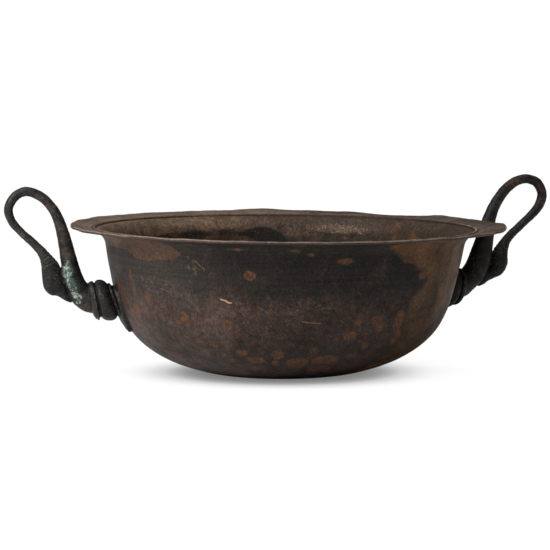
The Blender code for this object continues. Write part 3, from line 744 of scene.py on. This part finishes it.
RIGHT_SWAN = (
    (12.0, -0.4, 20.4, 20.4), (19.0, 0.2, 22.2, 22.2), (25.2, 1.8, 22.2, 22.0), (30.4, 4.6, 20.0, 19.8),
    (35.6, 9.0, 20.0, 19.2), (40.1, 14.6, 20.0, 18.8), (44.2, 24.2, 19.4, 17.8),
    (48.1, 37.7, 16.1, 15.2), (53.2, 57.2, 11.5, 11.0), (59.4, 70.0, 9.7, 9.4), (67.5, 80.1, 9.0, 8.8),
    (77.4, 87.2, 8.5, 8.4), (88.7, 89.5, 8.0, 8.2), (98.9, 85.7, 8.4, 8.2), (103.7, 76.5, 8.5, 8.2),
    (101.2, 66.9, 8.3, 8.0), (93.5, 58.6, 7.5, 7.4), (84.1, 50.9, 7.1, 7.0), (75.2, 43.7, 7.4, 7.2),
    (69.6, 38.0, 8.0, 8.0), (65.7, 31.8, 11.4, 9.8), (63.1, 25.4, 15.0, 12.2), (61.8, 19.0, 16.6, 13.2),
    (59.4, 14.0, 14.6, 12.6), (54.8, 10.2, 10.2, 10.2), (50.0, 6.8, 7.4, 8.4), (45.6, 3.2, 5.6, 7.2),
    (42.0, 0.4, 2.8, 4.4),
)


def smooth_run(points, steps):
    """Smooth curve through rows of values, with a number of steps between two rows."""
    fine = []
    for i in range(len(points) - 1):
        a, b, c = points[max(i - 1, 0)], points[i], points[i + 1]
        d = points[min(i + 2, len(points) - 1)]
        for s in range(steps):
            t = s / steps
            fine.append([b[k] + 0.5 * t * (c[k] - a[k] + t * (2 * a[k] - 5 * b[k] + 4 * c[k] - d[k]
                        + t * (3 * (b[k] - c[k]) + d[k] - a[k]))) for k in range(len(b))])
    fine.append(list(points[-1]))
    return fine


def swan_rings(swan):
    """Rings of the swan's body: out, rise, tilt in radians, half thickness in plane and across."""
    fine = smooth_run(swan, 6)
    rings, previous = [], 0.0
    for i, (out, rise, thick, wide) in enumerate(fine):
        ahead, behind = fine[min(i + 1, len(fine) - 1)], fine[max(i - 1, 0)]
        tilt = math.atan2(ahead[1] - behind[1], ahead[0] - behind[0])
        while tilt < previous - math.pi:
            tilt += 2 * math.pi
        previous = tilt
        rings.append((out, rise, tilt, thick / 2, wide / 2))
    return rings


class Seat:
    """Where a handle stands on the wall: its foot, and its directions out, across and up."""

    def __init__(self, azimuth, height, turn):
        self.azimuth, self.height = azimuth, height
        self.outward = Vector((math.cos(math.radians(azimuth)), math.sin(math.radians(azimuth)), 0.0))
        self.across = Vector((-self.outward.y, self.outward.x, 0.0))
        self.up = Vector((0.0, 0.0, 1.0))
        self.foot = self.on_wall(0.0, height, 0.0)
        turn = math.radians(turn)
        self.turned = self.across * math.cos(turn) + self.outward * math.sin(turn)

    def on_wall(self, across, height, out):
        """Point at a distance outside the wall, beside the handle's own plane."""
        radius = wall_radius(height)
        angle = math.radians(self.azimuth) + across / radius
        steep = math.atan(wall_slope(height))
        reach = radius + out * math.cos(steep)
        return leaned(Vector((reach * math.cos(angle), reach * math.sin(angle), height - out * math.sin(steep))))

    def ring_frame(self, ring, wide_way):
        """Matrix that takes a unit ring to one section of the handle."""
        out, rise, tilt, in_plane, wide = ring
        centre = self.foot + (self.outward * out + self.up * rise) * HANDLE_UNIT
        side = self.up * math.cos(tilt) - self.outward * math.sin(tilt)
        matrix = Matrix.Identity(4)
        matrix.col[0].xyz = side * in_plane * HANDLE_UNIT
        matrix.col[1].xyz = wide_way * wide * HANDLE_UNIT
        matrix.col[2].xyz = side.cross(wide_way) * HANDLE_UNIT
        matrix.col[3].xyz = centre
        return matrix


def draw_rod(seat, rings, wide_way):
    """Round bar drawn out ring by ring, closed at both ends."""
    bpy.ops.object.select_all(action="DESELECT")
    bpy.ops.mesh.primitive_circle_add(vertices=ROD_SIDES, radius=1.0, fill_type="NGON")
    rod = bpy.context.object
    last = seat.ring_frame(rings[0], wide_way)
    rod.data.transform(last)
    open_mesh()
    for ring in rings[1:]:
        bpy.ops.mesh.extrude_region_move(TRANSFORM_OT_translate={"value": (0.0, 0.0, 0.0)})
        matrix = seat.ring_frame(ring, wide_way)
        shape = bmesh.from_edit_mesh(rod.data)
        bmesh.ops.transform(shape, matrix=matrix @ last.inverted(), verts=[v for v in shape.verts if v.select])
        bmesh.update_edit_mesh(rod.data)
        last = matrix
    close_mesh()
    return rod


def leaf_plate(seat):
    """Disc with inset rings, given thickness, then bent to the wall as a leaf pointed at its foot."""
    bpy.ops.object.select_all(action="DESELECT")
    bpy.ops.mesh.primitive_circle_add(vertices=64, radius=1.0, fill_type="NGON")
    plate = bpy.context.object
    open_mesh()
    for step in (0.04, 0.06, 0.10, 0.15, 0.2, 0.2):
        bpy.ops.mesh.inset(thickness=step, depth=0.0)
    bpy.ops.mesh.poke()
    bpy.ops.mesh.select_all(action="SELECT")
    bpy.ops.mesh.extrude_region_move(TRANSFORM_OT_translate={"value": (0.0, 0.0, 1.0)})
    bpy.ops.object.mode_set(mode="OBJECT")
    for vertex in plate.data.vertices:
        share = min(math.hypot(vertex.co.x, vertex.co.y), 1.0)
        turn = math.atan2(vertex.co.y, vertex.co.x)
        rise = math.sin(turn)
        across = math.cos(turn) * PLATE_HALF_WIDTH
        if rise < 0.0:
            across *= (1.0 + rise) ** 0.2 / max(math.cos(turn) ** 2, 0.02) ** 0.1
        up = rise * (PLATE_ABOVE if rise > 0.0 else PLATE_BELOW)
        out = -PLATE_SUNK
        if vertex.co.z > 0.5:
            out = 0.0003 + PLATE_EDGE * min((1.0 - share) / 0.05, 1.0) ** 0.5
            out += (PLATE_CROWN - PLATE_EDGE) * (1.0 - share ** 2)
        vertex.co = seat.on_wall(across * share, seat.height + up * share, out)
    open_mesh()
    close_mesh()
    return plate


def finish_modifier(piece, kind, **settings):
    """Add a modifier, set it and apply it."""
    bpy.ops.object.select_all(action="DESELECT")
    piece.select_set(True)
    bpy.context.view_layer.objects.active = piece
    bpy.ops.object.modifier_add(type=kind)
    modifier = piece.modifiers[-1]
    for name, value in settings.items():
        setattr(modifier, name, value)
    bpy.ops.object.modifier_apply(modifier=modifier.name)


def cast_handle(name, azimuth, height, turn, root, swan, eye, lines_from, lines_to, crust, warm):
    """One handle: its parts melted into one casting, then chased and corroded."""
    seat = Seat(azimuth, height / 1000, turn)
    rings = swan_rings(swan)
    root = [(out, rise, math.radians(tilt), radius, radius) for out, rise, tilt, radius in root]
    parts = [draw_rod(seat, rings, seat.across), draw_rod(seat, root, seat.turned), leaf_plate(seat)]
    bpy.ops.object.select_all(action="DESELECT")
    for part in parts:
        part.select_set(True)
    bpy.context.view_layer.objects.active = parts[0]
    bpy.ops.object.join()
    handle = bpy.context.object
    handle.name = name
    finish_modifier(handle, "REMESH", mode="VOXEL", voxel_size=VOXEL)
    finish_modifier(handle, "SMOOTH", factor=0.5, iterations=5)

    # Every point's place on the casting: out, rise and across, and how far along the swan it is.
    spine = kdtree.KDTree(len(rings))
    run, lengths = 0.0, []
    for i, ring in enumerate(rings):
        if i:
            run += math.hypot(ring[0] - rings[i - 1][0], ring[1] - rings[i - 1][1])
        lengths.append(run)
        spine.insert((ring[0], ring[1], 0.0), i)
    spine.balance()

    def nearest_ring(out, rise):
        return spine.find((out, rise, 0.0))[1]

    mesh = handle.data
    first, last = lengths[nearest_ring(*lines_from)], lengths[nearest_ring(*lines_to)]
    grooves = [first + (last - first) * i / (NECK_LINES - 1) for i in range(NECK_LINES)]
    bill_root = lengths[-1] - BILL_LINE
    values = {key: np.zeros(len(mesh.vertices), np.float32) for key in ("crust", "warm", "along", "root", "head")}
    moved = []
    for vertex in mesh.vertices:
        p = (vertex.co - seat.foot) / HANDLE_UNIT
        out, rise, across = p.dot(seat.outward), p.z, p.dot(seat.across)
        index = nearest_ring(out, rise)
        ring = rings[index]
        s = lengths[index] + (out - ring[0]) * math.cos(ring[2]) + (rise - ring[1]) * math.sin(ring[2])
        push = 0.17 * noise.noise(vertex.co * 150.0) + 0.13 * noise.noise(vertex.co * 420.0) - 0.08
        push += 0.11 * noise.noise(vertex.co * 850.0)
        on_swan = out > SWAN_FROM
        if on_swan:
            for groove in grooves:
                push -= NECK_LINE_DEPTH * math.exp(-((s - groove) / 0.45) ** 2)
            far = math.hypot(out - eye[0], rise - eye[1])
            if abs(across) > 3.0 and far < 2.6:
                push += 0.40 * (1.0 - (far / EYE_BALL) ** 2) if far < EYE_BALL else 0.0
                push -= EYE_GROOVE * math.exp(-((far - 2.0) / 0.50) ** 2)
            if s > bill_root:
                beside = (rise - ring[1]) * math.cos(ring[2]) - (out - ring[0]) * math.sin(ring[2])
                push -= BILL_GROOVE * math.exp(-((beside + 0.3) / 0.38) ** 2) * min((s - bill_root) / 4.0, 1.0)
        # Crust: ovals along the shaft, on the side that faces the front of the bowl.
        crusty = -10.0
        for middle_out, middle_rise, wide, tall, side in crust:
            share = 1.0 - math.hypot((out - middle_out) / wide, (rise - middle_rise) / tall)
            crusty = max(crusty, share * min(wide, tall) + (0.0 if across * side > -1.0 else -6.0))
        warmth = -10.0
        for middle_out, middle_rise, size in warm:
            warmth = max(warmth, size - math.hypot(out - middle_out, rise - middle_rise))
        if crusty > 0.0:
            push += min(crusty * 0.10, 0.28) * (0.6 + noise.noise(vertex.co * 700.0))
        values["crust"][vertex.index] = crusty
        values["warm"][vertex.index] = warmth
        values["along"][vertex.index] = s if on_swan else out + 0.2 * rise
        values["root"][vertex.index] = ROOT_UNTIL - out
        values["head"][vertex.index] = 9.0 - math.hypot(out - eye[0] + 1.0, (rise - eye[1] + 1.0) * 0.7)
        moved.append(vertex.co + vertex.normal * push * HANDLE_UNIT)
    for vertex, co in zip(mesh.vertices, moved):
        vertex.co = co

    # How hollow or proud each point is, for dirt in the grooves and wear on the ridges.
    co = np.empty(len(mesh.vertices) * 3)
    mesh.vertices.foreach_get("co", co)
    co = co.reshape(-1, 3)
    normals = np.array([v.normal[:] for v in mesh.vertices])
    ends = np.empty(len(mesh.edges) * 2, np.int64)
    mesh.edges.foreach_get("vertices", ends)
    ends = ends.reshape(-1, 2)
    links = np.bincount(ends.ravel(), minlength=len(co)).reshape(-1, 1)
    middle = co.copy()
    for _ in range(8):
        total = np.zeros_like(co)
        np.add.at(total, ends[:, 0], middle[ends[:, 1]])
        np.add.at(total, ends[:, 1], middle[ends[:, 0]])
        middle = total / links
    hollow = ((middle - co) * normals).sum(1) * 1000
    values["hollow"] = np.clip(hollow * 2.5, -1.0, 1.0).astype(np.float32)
    for key, data in values.items():
        attribute = mesh.attributes.new(key, "FLOAT", "POINT")
        attribute.data.foreach_set("value", np.clip(data, -10.0, 400.0))
    for polygon in mesh.polygons:
        polygon.use_smooth = True
    return handle


# Azimuth, height and turn of each seat; eye and neck lines; crust and warm blotches, as out and rise.
left = cast_handle(
    "handle_left_swan", 174.0, 62.5, 8.0, LEFT_ROOT, LEFT_SWAN, (53.4, 18.6), (60.6, 38.5), (56.8, 31.4),
    ((42.4, 24.6, 3.6, 6.3, 1.0), (40.6, 15.2, 3.6, 5.6, 1.0), (37.2, 7.2, 2.4, 4.2, 1.0),
     (34.3, 1.8, 1.9, 3.2, 1.0)),
    ((56.0, 78.0, 6.0), (46.5, 58.0, 3.0), (43.0, 38.0, 3.5), (81.0, 54.0, 4.0), (29.0, -1.0, 4.0),
     (63.0, 42.0, 2.5)))
right = cast_handle(
    "handle_right_swan", 6.0, 65.0, 0.0, RIGHT_ROOT, RIGHT_SWAN, (59.6, 16.8), (65.6, 33.9), (61.9, 26.2),
    (),
    ((60.4, 68.6, 2.6), (62.0, 62.0, 2.8), (30.0, -4.0, 4.0), (76.0, 86.0, 5.0), (103.0, 82.0, 5.0),
     (104.0, 70.0, 4.0)))

# Colours of the handles' patina, from light to dark where there are three; the left handle's tones are painted lit
# and the right one's painted in shade.
LEFT_GREY_PAINTED_LIT = (0.044, 0.040, 0.036), (0.023, 0.022, 0.0205), (0.010, 0.0098, 0.0092)
RIGHT_BLACK_PAINTED_SHADE = (0.033, 0.029, 0.024), (0.015, 0.0135, 0.012), (0.008, 0.0078, 0.007)
WARM_BLOTCH, INKY, HEAD_BLACK = (0.095, 0.052, 0.031), (0.0085, 0.0090, 0.0095), (0.0080, 0.0077, 0.0068)
GROOVE_DIRT, WORN_RIDGE = (0.007, 0.007, 0.006), (0.135, 0.112, 0.088)
BLACK_FLECK, PALE_FLECK = (0.006, 0.006, 0.0055), (0.24, 0.21, 0.17)
CRUST_GREEN, CRUST_PALE = (0.040, 0.070, 0.053), (0.30, 0.345, 0.295)

material, shader = open_material("handle patina")
here = put("TexCoord").outputs["Object"]
# Painted light: the handle on the left takes lighter tones, as if lit, and the one on the right darker ones, as if
# in shade, partly for the light and partly for its blacker patina.
rightward = ease(put("SeparateXYZ", (), {0: here}).outputs["X"], -0.05, 0.05)
color = tint(rightward, bronze(here, 110.0, *LEFT_GREY_PAINTED_LIT, 0.62), bronze(here, 110.0, *RIGHT_BLACK_PAINTED_SHADE, 0.55))
blotches = ease(clouds(here, 330.0, 5.0, 0.65, 0.5), 0.46, 0.60)
blotches = plus(times(blotches, 0.75), 0.12)
color = tint(times(patch(here, "warm", 3.5, 4.0, 140.0), blotches), color, WARM_BLOTCH)
inky = clouds(stretched(here, (1.0, 1.0, 1.0), (5.0, 1.0, 2.0)), 190.0, 5.0, 0.66, 0.4)
color = tint(times(ease(inky, 0.48, 0.58), 0.62), color, INKY)
# The ball and collar keep the marks of the scraper round them.
scraped = put("CombineXYZ", (), {0: field("along"), 1: clouds(here, 60.0, 3.0)}).outputs[0]
scraped = clouds(scraped, 1.15, 3.0, 0.7)
on_root = ease(field("root"), -1.0, 1.0)
strokes = times(ease(scraped, 0.32, 0.68, -0.45, 0.45), on_root)
color = swung(color, plus(strokes, 1.0))
on_head = times(ease(field("head"), -2.0, 4.0), ease(clouds(here, 200.0, 5.0, 0.65), 0.36, 0.60, 0.25, 0.95))
color = tint(on_head, color, HEAD_BLACK)
hollow = field("hollow")
color = tint(ease(hollow, 0.10, 0.55), color, GROOVE_DIRT)
worn = times(ease(hollow, -0.12, -0.60), ease(clouds(here, 260.0, 4.0), 0.42, 0.62))
color = tint(times(worn, 0.50), color, WORN_RIDGE)
fine = place(flecks, {"Vector": here, "Scale": 900.0})
color = tint(times(fine["Dark"], 0.55), color, BLACK_FLECK)
color = tint(times(fine["Pale"], 0.26), color, PALE_FLECK)
crust_mask = times(patch(here, "crust", 2.4, 1.0, 230.0),
                   ease(clouds(here, 520.0, 4.0, 0.6), 0.36, 0.52, 0.25, 1.0))
green = ease(clouds(here, 240.0, 5.0, 0.65), 0.42, 0.58)
color = tint(crust_mask, color, tint(green, CRUST_GREEN, CRUST_PALE))
join(color, shader["Base Color"])
rough = ease(clouds(here, 160.0, 5.0, 0.6), 0.3, 0.7, 0.40, 0.62)
rough = plus(rough, times(crust_mask, 0.35), True)
join(rough, shader["Roughness"])
join(times(rest_of(crust_mask), 0.30), shader["Metallic"])
shader["Specular IOR Level"].default_value = 0.22
surface = place(skin, {"Vector": here, "Scale": 900.0, "Pits": 0.8})
bump = put("Bump", (), {"Height": surface["Height"], "Strength": 0.45, "Distance": 0.0004})
join(bump.outputs[0], shader["Normal"])

for handle, node in ((left, "handle_left"), (right, "handle_right")):
    handle.data.materials.clear()
    handle.data.materials.append(material)
    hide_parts(node)
    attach(handle, "root")

# ---- The floor: a plain pale surface, not part of the bowl. The camera sees it glow an even white, with a soft painted shade under the bowl, taken from how near the bowl is and falling away from the light on the left.
FLOOR_SIZE = 14.0
FLOOR_BOUNCE, FLOOR_SEEN = (0.85, 0.85, 0.85), (0.05, 0.05, 0.05)
bpy.ops.object.select_all(action="DESELECT")
bpy.ops.mesh.primitive_plane_add(size=FLOOR_SIZE, location=(0.0, 0.0, 0.0))
floor = bpy.context.object
floor.name = "floor"
material, shader = open_material("pale floor")
seen = put("LightPath").outputs["Is Camera Ray"]
join(tint(seen, FLOOR_BOUNCE, FLOOR_SEEN), shader["Base Color"])
# Painted shadow: the floor's glow is dimmed where the bowl is near, more on the side away from the left light.
close = put("AmbientOcclusion", {"samples": 16}, {"Distance": 0.012}).outputs["AO"]
bright = times(close, 0.22)
for distance, turned, open_from, strength in (
        (0.05, (-0.90, 0.16, 0.42), 0.6, 0.26), (0.13, (-0.90, 0.10, 0.42), 0.55, 0.32)):
    shaded = put("AmbientOcclusion", {"samples": 16}, {"Distance": distance, "Normal": turned})
    bright = plus(bright, ease(shaded.outputs["AO"], 0.0, open_from, 0.0, strength))
bright = plus(bright, 0.19)
join(times(seen, bright), shader["Emission Strength"])
shader["Emission Color"].default_value = (1.0, 1.0, 1.0, 1.0)
shader["Roughness"].default_value = 0.9
shader["Specular IOR Level"].default_value = 0.0
floor.data.materials.append(material)

# ---- Light: an even white room, a broad soft light from above, and a round soft one from the left.
ROOM_LIGHT, BACKDROP = 0.16, 1.1
TOP_FROM, TOP_SPREAD, TOP_LIGHT = (-0.24, -0.14, 0.96), 80.0, 2.0
LEFT_PLACE, LEFT_AIM, LEFT_SIZE, LEFT_LIGHT = (-0.66, -0.30, 0.50), (0.0, 0.0, 0.06), 0.55, 5.5
world = bpy.data.worlds.new("studio")
bpy.context.scene.world = world
world.use_nodes = True
in_hand = world.node_tree
walls = in_hand.nodes["Background"]
walls.inputs["Color"].default_value = (1.0, 1.0, 1.0, 1.0)
walls.inputs["Strength"].default_value = ROOM_LIGHT
white = put("Background", (), {"Color": (1.0, 1.0, 1.0, 1.0), "Strength": BACKDROP})
seen = put("LightPath").outputs["Is Camera Ray"]
both = put("MixShader", (), {0: seen, 1: walls.outputs[0], 2: white.outputs[0]})
join(both.outputs[0], in_hand.nodes["World Output"].inputs["Surface"])

bpy.ops.object.light_add(type="SUN", location=(0.0, 0.0, 2.0))
lamp = bpy.context.object
lamp.name = "top"
lamp.rotation_euler = Vector(TOP_FROM).to_track_quat("Z", "Y").to_euler()
lamp.data.energy = TOP_LIGHT
lamp.data.angle = math.radians(TOP_SPREAD)
bpy.ops.object.light_add(type="AREA", location=LEFT_PLACE)
lamp = bpy.context.object
lamp.name = "left"
lamp.rotation_euler = (lamp.location - Vector(LEFT_AIM)).to_track_quat("Z", "Y").to_euler()
lamp.data.shape = "DISK"
lamp.data.size = LEFT_SIZE
lamp.data.energy = LEFT_LIGHT
lamp.visible_camera = False

# ---- The camera: almost level, a little above the rim, in front and a touch to the left.
CAMERA_AWAY, CAMERA_HEIGHT = 2.8926, 0.3340
CAMERA_AIM = (-0.0055, 0.0019, 0.0802)
SENSOR_WIDTH, LENS = 36.0, 230.4
towards = Vector((math.cos(math.radians(FRONT)), math.sin(math.radians(FRONT)), 0.0))
camera_place = towards * CAMERA_AWAY + Vector((0.0, 0.0, CAMERA_HEIGHT))
bpy.ops.object.camera_add(location=camera_place)
camera = bpy.context.object
camera.rotation_euler = (Vector(CAMERA_AIM) - camera_place).to_track_quat("-Z", "Y").to_euler()
camera.data.sensor_width = SENSOR_WIDTH
camera.data.lens = LENS
camera.data.clip_start, camera.data.clip_end = 0.05, 100.0
bpy.context.scene.camera = camera
bpy.context.scene.view_settings.view_transform = "Standard"
